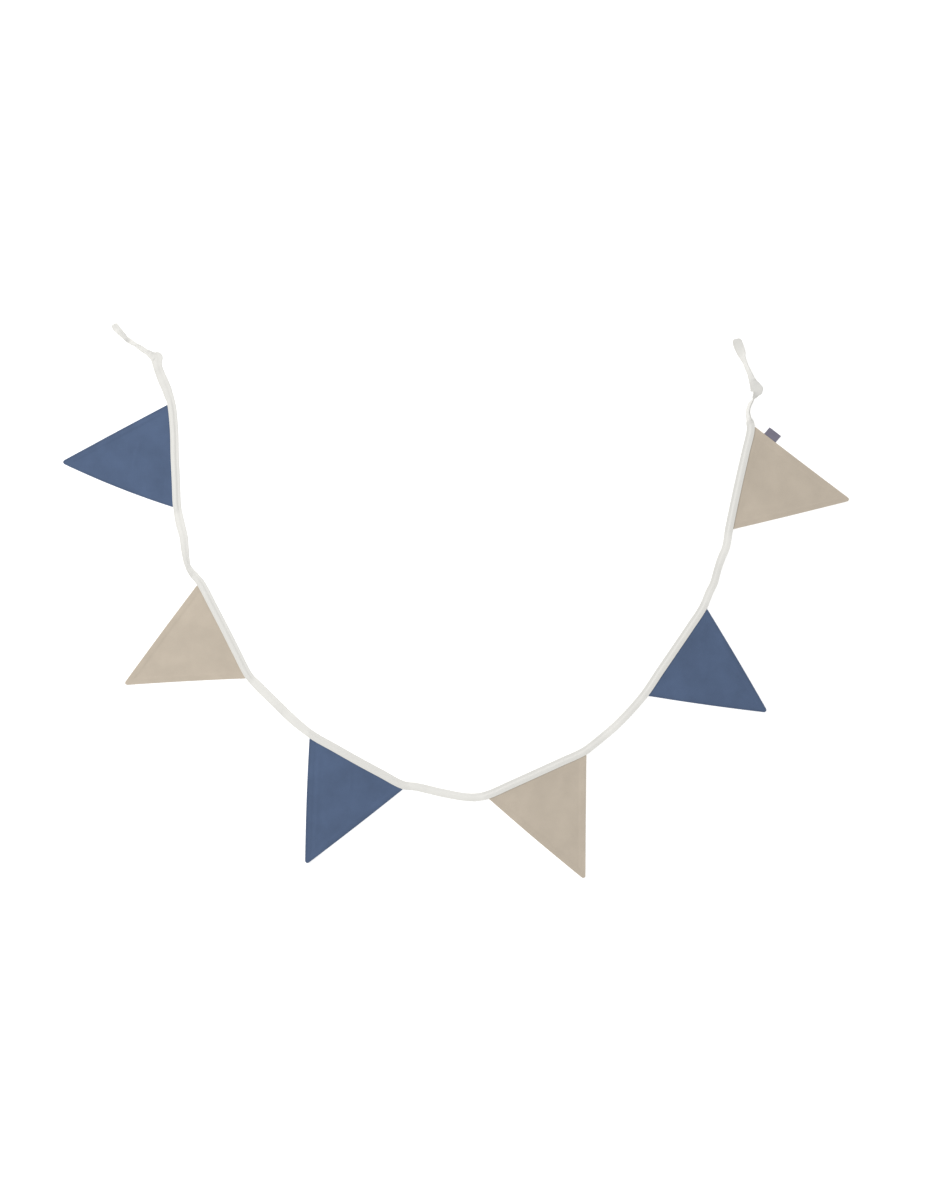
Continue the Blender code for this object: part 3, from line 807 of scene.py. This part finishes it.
class Station:
    """One section of the tape, placed and rolled."""

    def __init__(self, route, sizes, distance, plump=1.0):
        self.centre = route.middle(distance)
        self.side = route.open_side(distance)
        self.roll = route.roll(distance)
        self.slot = route.slot(distance)
        self.sizes = sizes
        self.distance = distance
        wobble = 1.0 + TAPE_WOBBLE * uneven(TAPE_WOBBLE_SEED, distance / TAPE_WOBBLE_LENGTH)
        self.spread = route.spread(distance) * wobble * route.end_width(distance)
        self.middle = sizes.cloth + sizes.gap / 2
        centres, thicknesses = self.fold()
        outline, self.around = thick_outline(centres, [thick * plump for thick in thicknesses])
        turned = [self.turn(point.x, point.y) for point in outline]
        self.lowest = min(point.y for point in turned)
        self.ring = [self.world(point) for point in turned]

    def thickness(self, across):
        turned_in = ease((across - STEP_START) / STEP_RUN)
        return blend(self.sizes.cloth, self.sizes.turned, turned_in)

    def trough(self, across):
        """How far the stitches pull each face in."""
        off = (across - (self.sizes.width / 2 - self.sizes.stitch_inset)) / STITCH_TROUGH_WIDTH
        return STITCH_TROUGH * math.exp(-off * off)

    def top(self, across):
        """Height of the upper face before it is rolled."""
        opening = ease((across - STEP_START) / STEP_RUN) * self.slot
        mouth = blend(self.sizes.gap, self.sizes.in_tape + 2 * MOUTH_CLEARANCE, opening)
        pucker = TAPE_PUCKER * uneven(TAPE_PUCKER_SEED, self.distance / TAPE_PUCKER_LENGTH,
                                      across / TAPE_PUCKER_LENGTH)
        lifted = ease((self.sizes.width / 2 + across) / (self.sizes.width / 2))
        return 2 * self.thickness(across) + mouth - self.trough(across) + abs(pucker) * lifted

    def fold(self):
        """Middle line of the cloth in section, from the lower open edge round to the upper one."""
        half = self.sizes.width / 2
        places = [share * half for share in LEAF_PLACES]
        lower = [Vector((place, self.thickness(place) / 2 + self.trough(place))) for place in places]
        upper = [Vector((place, self.top(place) - self.thickness(place) / 2)) for place in places]
        outside = self.sizes.cloth + self.sizes.gap / 2
        reach = outside - self.sizes.cloth / 2
        turns = [math.radians(angle) for angle in FOLD_ANGLES]
        fold = [Vector((outside - half + reach * math.cos(turn), outside + reach * math.sin(turn)))
                for turn in turns]
        thicknesses = [self.thickness(place) for place in places]
        return (lower + fold + upper[::-1],
                thicknesses + [self.sizes.cloth] * len(fold) + thicknesses[::-1])

    def turn(self, across, up):
        """A point of the section, spread and rolled about its middle."""
        across = across * self.spread
        rise = up - self.middle
        return Vector((across * math.cos(self.roll) - rise * math.sin(self.roll),
                       across * math.sin(self.roll) + rise * math.cos(self.roll)))

    def world(self, turned):
        place = self.centre + self.side * turned.x
        return Vector((place.x, place.y, turned.y - self.lowest))

    def stitch_point(self, across, upper):
        """Place of the thread on one face, and the direction out of the cloth there."""
        height = self.top(across) if upper else self.trough(across)
        point = self.world(self.turn(across, height))
        sign = 1.0 if upper else -1.0
        up = Vector((-self.side.x * math.sin(self.roll), -self.side.y * math.sin(self.roll),
                     math.cos(self.roll))) * sign
        return point, up


TapeSizes = namedtuple("TapeSizes", "width cloth turned gap in_tape stitch_inset")


def tape_sizes(scene):
    tape = scene.bunting_tape
    return TapeSizes(tape.width, tape.cloth, tape.turned, tape.gap,
                     scene.bunting_pennants.in_tape, scene.bunting_stitches.inset)


def make_tape(route, sizes, colour):
    """The folded tape as one closed strip of cloth."""
    distances = route.stations()
    rings = []
    places = []
    darkened_places = []
    for distance in distances:
        at_end = distance in (distances[0], distances[-1])
        station = Station(route, sizes, distance, plump=END_THICKNESS if at_end else 1.0)
        rings.append(station.ring)
        places.append([(distance, around) for around in station.around])
        # The tape's colour is darkened beside the pennants and in the ties
        in_tie = distance < route.sewn[0][0] or distance > route.sewn[-1][1]
        darkened_places.append([1.0 if in_tie else station.slot] * len(station.ring))
    count = len(rings[0])
    end_faces = [list(range(count))]
    material = cloth_material("cream_binding", colour)
    return ring_mesh("tape_cloth", rings, places, material, end_faces, darkened_places)


# Stitching

def stitch_lines(route, sizes):
    """Chains of points and outward directions: along both faces, and across both ends."""
    half = sizes.width / 2
    across = half - sizes.stitch_inset
    margin = sizes.stitch_inset * END_ROW_MARGIN
    distances = [margin]
    distances += [place for place in route.stations() if margin < place < route.length - margin]
    distances.append(route.length - margin)
    stations = [Station(route, sizes, distance) for distance in distances]
    lines = [[station.stitch_point(across, upper) for station in stations] for upper in (True, False)]
    for station in (stations[0], stations[-1]):
        row = [blend(across, margin - half, step / END_ROW_STEPS)
               for step in range(1, END_ROW_STEPS + 1)]
        for upper in (True, False):
            lines.append([station.stitch_point(place, upper) for place in row])
    return lines


def stitch_path(lines):
    """A mesh of loose edges along the stitching, with the direction out of the cloth."""
    points = []
    ups = []
    edges = []
    for line in lines:
        for number, (point, up) in enumerate(line):
            if number:
                edges.append((len(points) - 1, len(points)))
            points.append(point)
            ups.extend(up)
    mesh = bpy.data.meshes.new("tape_stitching")
    mesh.from_pydata(points, edges, [])
    mesh.attributes.new("up", "FLOAT_VECTOR", "POINT").data.foreach_set("vector", ups)
    return add_piece("tape_stitching", mesh)


def stitch_tree():
    """Geometry Nodes that lay a stitch at every pitch along a path."""
    tree, given, taken = group_tree(
        "GeometryNodeTree", "Running stitches",
        [("Geometry", "NodeSocketGeometry", None), ("Pitch", "NodeSocketFloat", 0.0027),
         ("Stitch", "NodeSocketFloat", 0.0021), ("Thread", "NodeSocketFloat", 0.0003),
         ("Unevenness", "NodeSocketFloat", STITCH_UNEVENNESS), ("Seed", "NodeSocketInt", 7),
         ("Material", "NodeSocketMaterial", None)],
        [("Geometry", "NodeSocketGeometry")],
    )
    path = add_node(tree, "GeometryNodeMeshToCurve", {"Mesh": given["Geometry"]})
    places = add_node(tree, "GeometryNodeResampleCurve",
                      {"Curve": path.outputs[0], "Length": given["Pitch"]}, mode="LENGTH")
    up = add_node(tree, "GeometryNodeInputNamedAttribute", {"Name": "up"}, data_type="FLOAT_VECTOR")
    along = add_node(tree, "GeometryNodeInputTangent")
    turn = add_node(tree, "FunctionNodeAxesToRotation",
                    {0: up.outputs["Attribute"], 1: along.outputs[0]},
                    primary_axis="Z", secondary_axis="X")
    ball = add_node(tree, "GeometryNodeMeshUVSphere", {"Segments": 8, "Rings": 5, "Radius": 0.5})
    shape = add_node(tree, "ShaderNodeCombineXYZ",
                     {0: given["Stitch"], 1: given["Thread"], 2: given["Thread"]})
    stitch = add_node(tree, "GeometryNodeTransform",
                      {"Geometry": ball.outputs["Mesh"], "Scale": shape.outputs[0]})
    least = number_node(tree, "SUBTRACT", 1.0, given["Unevenness"])
    most = number_node(tree, "ADD", 1.0, given["Unevenness"])
    size = add_node(tree, "FunctionNodeRandomValue", {"Seed": given["Seed"]}, data_type="FLOAT")
    tree.links.new(least, size.inputs[2])
    tree.links.new(most, size.inputs[3])
    laid = add_node(tree, "GeometryNodeInstanceOnPoints",
                    {"Points": places.outputs[0], "Instance": stitch.outputs[0],
                     "Rotation": turn.outputs[0], "Scale": size.outputs[1]})
    real = add_node(tree, "GeometryNodeRealizeInstances", {"Geometry": laid.outputs[0]})
    smooth = add_node(tree, "GeometryNodeSetShadeSmooth", {"Geometry": real.outputs[0]})
    finished = add_node(tree, "GeometryNodeSetMaterial",
                        {"Geometry": smooth.outputs[0], "Material": given["Material"]})
    tree.links.new(finished.outputs[0], taken["Geometry"])
    return tree


def apply_tree(piece, tree, values):
    """Run a tree on a piece with these inputs, and keep the result as its plain mesh."""
    modifier = piece.modifiers.new("Making", "NODES")
    modifier.node_group = tree
    for item in tree.interface.items_tree:
        if item.in_out == "INPUT" and item.name in values:
            modifier[item.identifier] = values[item.name]
    graph = bpy.context.evaluated_depsgraph_get()
    made = bpy.data.meshes.new_from_object(piece.evaluated_get(graph), depsgraph=graph)
    piece.modifiers.clear()
    piece.data = made
    if not made.polygons:
        raise RuntimeError(f"{piece.name}: the tree made no faces")


# Pennants

def bow_at(bow, share):
    """How far a side bows out at a share of its length, with its full bow half way."""
    return bow * 4.0 * share * (1.0 - share)


def side_line(corner, apex, bow, outward, share):
    """Point of a pennant's side, which bows out between the corner and the apex."""
    return corner + (apex - corner) * share + outward * bow_at(bow, share)


def line_distance(point, start, end):
    """Distance from a point to a line between two others."""
    way = end - start
    share = min(max((point - start).dot(way) / way.length_squared, 0.0), 1.0)
    return (point - start - way * share).length


class PennantCloth:
    """A pennant's two plies, sewn along the sides, turned out and pressed."""

    def __init__(self, route, number, settings, tape):
        self.route = route
        self.number = number
        self.pennant = PENNANTS[number - 1]
        self.sewn = route.sewn[number - 1]
        self.settings = settings
        self.tape = tape
        self.apex = flat(*self.pennant.apex)
        self.first = self.seam_point(0.0, LEVEL_PAST_TAPE)
        self.last = self.seam_point(1.0, LEVEL_PAST_TAPE)
        self.first_out = to_the_right((self.apex - self.first).normalized())
        self.last_out = -to_the_right((self.apex - self.last).normalized())
        self.base = (self.last - self.first).length
        self.origin = (self.first + self.last) / 2
        self.height = (self.apex - self.origin).length
        self.half_angle = (self.first - self.apex).angle(self.last - self.apex) / 2
        self.along = (self.last - self.first).normalized()
        self.onward = to_the_right(self.along)
        self.creases = [crease for crease in CREASES if crease.pennant == number]

    def seam_point(self, share, past_tape):
        """Point beside the tape's open edge, at a share of the seam."""
        distance = blend(self.sewn[0], self.sewn[1], share)
        reach = self.tape.width / 2 + past_tape
        return self.route.middle(distance) + self.route.open_side(distance) * reach

    def field_point(self, share_across, share_down):
        """Point in the open part of the pennant."""
        bows = self.pennant.start_bow * MM, self.pennant.end_bow * MM
        first = side_line(self.first, self.apex, bows[0], self.first_out, share_down)
        last = side_line(self.last, self.apex, bows[1], self.last_out, share_down)
        seam = self.seam_point(share_across, LEVEL_PAST_TAPE)
        straight = blend(self.first, self.last, share_across)
        return blend(first, last, share_across) + (seam - straight) * (1.0 - share_down)

    def cloth_place(self, point):
        """Place on the flat cloth: along the seam from its middle, and down from it."""
        return Vector(((point - self.origin).dot(self.along), (point - self.origin).dot(self.onward)))

    def lift(self, share_across, down):
        """Height of the underside above the surface: out of the tape, with puckers and a curl."""
        in_tape = self.tape.turned + MOUTH_CLEARANCE
        drop = 1.0 - ease((down - LEVEL_PAST_TAPE) / (DROP_PAST_TAPE - LEVEL_PAST_TAPE))
        wave = 0.5 - 0.5 * math.cos(2.0 * math.pi * PUCKER_COUNT * share_across)
        fade = ease((down - LEVEL_PAST_TAPE) / DROP_PAST_TAPE) * (1.0 - ease(down / PUCKER_REACH))
        curl = self.pennant.curl * MM * (1.0 - ease((self.height - down) / TIP_CURL_REACH)) ** 2
        return in_tape * drop + PUCKER_HEIGHT * wave * fade + curl

    def relief(self, place, down):
        """Soft waves, ripples and the listed creases, none of them inside the tape."""
        seed = WAVES_SEED + self.number
        waves = 0.5 + 0.5 * uneven(seed, place.x / WAVE_LENGTH, place.y / WAVE_LENGTH)
        ripples = uneven(seed, place.x / RIPPLE_LENGTH, place.y / RIPPLE_LENGTH, 1.0)
        height = self.settings.waves * (waves + RIPPLE_SHARE * (0.5 + 0.5 * ripples))
        for crease in self.creases:
            start = Vector((crease.along, crease.down)) * MM
            end = Vector((crease.to_along, crease.to_down)) * MM
            off = line_distance(place, start, end) / (crease.width * MM / 2)
            height += crease.height * MM * math.exp(-off * off)
        return height * ease((down - LEVEL_PAST_TAPE) / DROP_PAST_TAPE)

    def thickness(self, from_side, down):
        """Two plies in the field, and four where the seam allowance lies inside."""
        allowance = 1.0 - ease((from_side - self.settings.band) / BAND_FADE)
        here = blend(self.settings.field, self.settings.seam, allowance)
        return blend(self.settings.in_tape, here, ease((down - LEVEL_PAST_TAPE) / DROP_PAST_TAPE))

    def columns(self, width, round_edge):
        """Insets of a row's points from its first side, and the rise of each over the rolled edge."""
        narrow = min(1.0, EDGE_SHARE * width / round_edge)
        edge = [(inset * round_edge * narrow, rise) for inset, rise in ROLLED_EDGE]
        scale = min(1.0, SIDE_SHARE * width / SIDE_PLACES[-1])
        past = [max(place * scale, edge[-1][0]) for place in SIDE_PLACES]
        side = edge + [(inset, FACE_RISE) for inset in past]
        first = side[-1][0]
        middle = [(blend(first, width - first, step / MIDDLE_COLUMNS), FACE_RISE)
                  for step in range(1, MIDDLE_COLUMNS)]
        other = [(width - inset, rise) for inset, rise in side[::-1]]
        return side + middle + other

    def row(self, down, width, point_at, from_tip=None):
        """A row's points, along the upper side and back along the underside, with places and the mask of
        painted shade along the edges.
        """
        edge_thick = self.thickness(0.0, down)
        round_edge = edge_thick / 4
        upper = []
        under = []
        places = []
        shades_and_tones = []
        for inset, rise in self.columns(width, round_edge):
            share = inset / width
            point = point_at(share)
            from_side = min(inset, width - inset)
            past_edge = from_side
            if from_tip is not None:
                past_edge = min(from_side, max(from_tip(inset - width / 2), 0.0))
            thick = self.thickness(max(past_edge, 0.0), down)
            place = self.cloth_place(point)
            base = self.lift(share, down) + self.relief(place, down)
            middle = base + thick / 2
            half = thick / 4 * rise
            if from_tip is not None and rise == FACE_RISE:
                rounding = min(past_edge / round_edge, 1.0)
                half = round_edge * (1.0 + math.sqrt(1.0 - (1.0 - rounding) ** 2))
            half = max(half, GROOVE)
            upper.append(Vector((point.x, point.y, middle + half)))
            under.append(Vector((point.x, point.y, middle - half)))
            places.append(place)
            # Painted shade along the pennant's edges, where its rolled seam turns away from the light
            shades_and_tones.append(1.0 - ease(past_edge / EDGE_SHADE_REACH))
        return upper + under[::-1], places + places[::-1], shades_and_tones + shades_and_tones[::-1]

    def rows(self):
        """All the rows, from the edge hidden in the tape to the rounded tip."""
        rows = []
        for past_tape in (-PENNANT_TUCK, -PENNANT_TUCK / 2, 0.0):
            rows.append(self.row(past_tape, self.base,
                                 lambda share, past=past_tape: self.seam_point(share, past)))
        to_centre = TIP_RADIUS / math.sin(self.half_angle)
        tangent = self.height - to_centre * math.cos(self.half_angle) ** 2
        downs = list(FIRST_ROWS)
        add_steps(downs, tangent, ROW_SPACING)
        for down in downs:
            share_down = (down - LEVEL_PAST_TAPE) / self.height
            first = self.field_point(0.0, share_down)
            last = self.field_point(1.0, share_down)
            rows.append(self.row(down, (last - first).length,
                                 lambda share, at=share_down: self.field_point(share, at)))
        return rows + self.tip_rows(tangent, first, last)

    def tip_rows(self, tangent, first, last):
        """Rows round the tip, and a last one in the groove between the plies."""
        onward = (self.apex - (first + last) / 2).normalized()
        across = (last - first).normalized()
        radius = (last - first).length / 2 / math.cos(self.half_angle)
        centre = (first + last) / 2 - onward * radius * math.sin(self.half_angle)
        base_turn = math.degrees(self.half_angle)
        rows = []
        angles = [angle for angle in TIP_ANGLES if angle > base_turn + TIP_FIRST_TURN]
        for angle in angles + [None]:
            groove = angle is None
            turn = math.radians(TIP_ANGLES[-1] if groove else angle)
            half_width = radius * math.cos(turn)
            reach = radius * math.sin(turn) - (self.settings.seam / 4 if groove else 0.0)
            middle = centre + onward * reach

            def point_at(share, at=middle, half=half_width):
                return at + across * half * (2.0 * share - 1.0)

            def from_tip(off, at=reach):
                return radius - math.hypot(off, at)

            down = tangent + reach - radius * math.sin(self.half_angle)
            row = self.row(down, 2 * half_width, point_at, from_tip)
            if groove:
                row = (self.flattened(row[0]), row[1], row[2])
            rows.append(row)
        return rows

    def flattened(self, ring):
        """The last row's points, brought together between the plies."""
        count = len(ring)
        closed = []
        for number, point in enumerate(ring):
            facing = ring[count - 1 - number]
            middle = (point.z + facing.z) / 2
            closed.append(Vector((point.x, point.y, middle + math.copysign(GROOVE, point.z - middle))))
        return closed


def make_pennant(route, number, settings, tape, material):
    cloth = PennantCloth(route, number, settings, tape)
    rows = cloth.rows()
    count = len(rows[0][0])
    end_faces = [(spot, spot + 1, count - 2 - spot, count - 1 - spot) for spot in range(count // 2 - 1)]
    piece = ring_mesh(f"pennant_{number}_cloth", [row[0] for row in rows], [row[1] for row in rows],
                      material, end_faces, [row[2] for row in rows])
    return piece, cloth


# Label

def make_label(cloth, settings, material):
    """A woven strip folded into a loop, its ends caught in the pennant's seam."""
    along = (cloth.apex - cloth.last).normalized()
    out = cloth.last_out
    share = (LABEL_FROM_CORNER + LABEL_WIDTH / 2) / (cloth.apex - cloth.last).length
    bow = bow_at(cloth.pennant.end_bow * MM, share)
    corner = cloth.last + along * LABEL_FROM_CORNER + out * max(bow, 0.0)
    leaning = (out * math.cos(LABEL_LEAN) + along * math.sin(LABEL_LEAN)) / math.cos(LABEL_LEAN)
    seam_middle = cloth.settings.seam / 2
    thick = settings.cloth
    rings = []
    places = []
    for step in range(LABEL_COLUMNS + 1):
        side = LABEL_WIDTH * step / LABEL_COLUMNS
        loop_change = LABEL_LOOP_UNEVENNESS * uneven(LABEL_LOOP_SEED, side / LABEL_LOOP_LENGTH)
        loop = settings.loop * (1.0 + loop_change)
        edge_change = LABEL_EDGE_UNEVENNESS * uneven(LABEL_EDGE_SEED, side / LABEL_EDGE_LENGTH)
        reach = LABEL_REACH + edge_change
        radius = (loop - thick) / 2
        lower = []
        upper = []
        for at in LABEL_PLACES:
            lower_opening = ease(at / LABEL_LOWER_OPENING)
            upper_opening = ease(at / LABEL_UPPER_OPENING)
            lower.append((at, blend(seam_middle - thick * LABEL_GRIP, thick / 2, lower_opening)))
            upper.append((at, blend(seam_middle + thick * LABEL_GRIP, loop - thick / 2, upper_opening)))
        turns = [math.radians(angle) for angle in LABEL_FOLD_ANGLES]
        fold = [(reach - radius - thick / 2 + radius * math.cos(turn),
                 loop / 2 + radius * math.sin(turn)) for turn in turns]
        centres = [Vector(point) for point in lower + fold + upper[::-1]]
        thicknesses = [thick] * len(centres)
        thicknesses[0] = thick * LABEL_END_THICKNESS
        thicknesses[-1] = thick * LABEL_END_THICKNESS
        outline, around = thick_outline(centres, thicknesses)
        ring = []
        for point in outline:
            place = corner + along * side + leaning * point.x
            ring.append(Vector((place.x, place.y, point.y)))
        rings.append(ring)
        places.append([(side, length) for length in around])
    end_faces = [list(range(len(rings[0])))]
    return ring_mesh("label_cloth", rings, places, material, end_faces)


# Operators

class BUNTING_OT_stage(bpy.types.Operator):
    """Lay a pale floor, light it softly from the left and set the camera straight above"""

    bl_idname = "bunting.stage"
    bl_label = "Stage"

    def execute(self, context):
        scene = context.scene
        settings = scene.bunting_stage
        floor_mesh = bpy.data.meshes.new("floor")
        half = FLOOR_SIZE / 2
        level = SOLID_BOX[0].z - FLOOR_DROP
        corners = [(-half, -half, level), (half, -half, level),
                   (half, half, level), (-half, half, level)]
        floor_mesh.from_pydata(corners, [], [(0, 1, 2, 3)])
        material = bpy.data.materials.new("floor")
        material.use_nodes = True
        shader = material.node_tree.nodes["Principled BSDF"]
        shader.inputs["Base Color"].default_value = (*settings.floor, 1.0)
        shader.inputs["Roughness"].default_value = FLOOR_ROUGHNESS
        shader.inputs["Specular IOR Level"].default_value = FLOOR_SPECULAR
        shader.inputs["Emission Color"].default_value = WHITE
        shader.inputs["Emission Strength"].default_value = settings.glow
        floor_mesh.materials.append(material)
        add_piece("floor", floor_mesh)

        world = bpy.data.worlds.new("studio")
        world.use_nodes = True
        sky = world.node_tree.nodes["Background"]
        sky.inputs["Color"].default_value = WHITE
        sky.inputs["Strength"].default_value = settings.sky
        scene.world = world

        key = bpy.data.lights.new("key", "AREA")
        key.shape = "DISK"
        key.size = KEY_SIZE
        key.energy = settings.key
        lamp = bpy.data.objects.new("key", key)
        lamp.location = KEY_PLACE
        lamp.rotation_euler = Vector(KEY_PLACE).to_track_quat("Z", "Y").to_euler()
        scene.collection.objects.link(lamp)

        camera_data = bpy.data.cameras.new("camera")
        camera_data.lens = settings.lens
        camera_data.clip_end = CAMERA_REACH
        camera = bpy.data.objects.new("camera", camera_data)
        distance = VIEW_LENGTH * camera_data.lens / camera_data.sensor_width
        camera.location = (*VIEW_CENTRE, distance)
        scene.collection.objects.link(camera)
        scene.camera = camera
        scene.view_settings.view_transform = "Standard"
        return {"FINISHED"}


class BUNTING_OT_stitching(bpy.types.Operator):
    """Stitch along the tape's open edge on both faces, and across its ends"""

    bl_idname = "bunting.stitching"
    bl_label = "Stitching"

    def execute(self, context):
        settings = context.scene.bunting_stitches
        sizes = tape_sizes(context.scene)
        piece = stitch_path(stitch_lines(Route(sizes.width), sizes))
        material = cloth_material("thread", settings.colour, "Object")
        apply_tree(piece, stitch_tree(), {
            "Pitch": settings.pitch,
            "Stitch": settings.stitch,
            "Thread": settings.thread,
            "Unevenness": STITCH_UNEVENNESS,
            "Seed": settings.seed,
            "Material": material,
        })
        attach(piece, "root")
        return {"FINISHED"}


class BUNTING_OT_tape(bpy.types.Operator):
    """Fold the tape along its route, with its two twisted ties"""

    bl_idname = "bunting.tape"
    bl_label = "Tape"

    def execute(self, context):
        sizes = tape_sizes(context.scene)
        route = Route(sizes.width)
        tape = make_tape(route, sizes, context.scene.bunting_tape.colour)
        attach(tape, "root")
        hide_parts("tape")
        return {"FINISHED"}


class BUNTING_OT_pennants(bpy.types.Operator):
    """Make the six pennants and the label in the last one's seam"""

    bl_idname = "bunting.pennants"
    bl_label = "Pennants and label"

    def execute(self, context):
        scene = context.scene
        settings = scene.bunting_pennants
        tape = tape_sizes(scene)
        route = Route(tape.width)
        materials = {
            "blue": cloth_material("blue_cotton", settings.blue),
            "taupe": cloth_material("taupe_cotton", settings.taupe),
        }
        for number, pennant in enumerate(PENNANTS, 1):
            piece, cloth = make_pennant(route, number, settings, tape, materials[pennant.cloth])
            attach(piece, "root")
            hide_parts(f"pennant_{number}")
        label = make_label(cloth, scene.bunting_label,
                           cloth_material("navy_label", scene.bunting_label.colour))
        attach(label, "root")
        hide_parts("label")
        return {"FINISHED"}


class BUNTING_PT_panel(bpy.types.Panel):
    """The bunting's settings and steps"""

    bl_label = "Bunting"
    bl_idname = "BUNTING_PT_panel"
    bl_space_type = "VIEW_3D"
    bl_region_type = "UI"
    bl_category = "Bunting"

    def draw(self, context):
        layout = self.layout
        for name, _, heading in SETTINGS:
            box = layout.box()
            box.label(text=heading)
            group = getattr(context.scene, name)
            for setting in group.bl_rna.properties.keys():
                if setting not in ("rna_type", "name"):
                    box.prop(group, setting)
        for step in STEPS:
            layout.operator(step.bl_idname)


SETTINGS = (
    ("bunting_tape", BuntingTapeSettings, "Tape"),
    ("bunting_stitches", BuntingStitchSettings, "Stitching"),
    ("bunting_pennants", BuntingPennantSettings, "Pennants"),
    ("bunting_label", BuntingLabelSettings, "Label"),
    ("bunting_stage", BuntingStageSettings, "Stage"),
)
STEPS = (BUNTING_OT_stage, BUNTING_OT_stitching, BUNTING_OT_tape, BUNTING_OT_pennants)
CLASSES = tuple(group for _, group, _ in SETTINGS) + STEPS + (BUNTING_PT_panel,)


def register():
    for kind in CLASSES:
        bpy.utils.register_class(kind)
    for name, group, _ in SETTINGS:
        setattr(bpy.types.Scene, name, PointerProperty(type=group))


def unregister():
    for name, _, _ in SETTINGS:
        delattr(bpy.types.Scene, name)
    for kind in reversed(CLASSES):
        bpy.utils.unregister_class(kind)


def main():
    register()
    bpy.ops.bunting.stage()
    bpy.ops.bunting.stitching()
    bpy.ops.bunting.tape()
    bpy.ops.bunting.pennants()


if __name__ == "__main__":
    main()
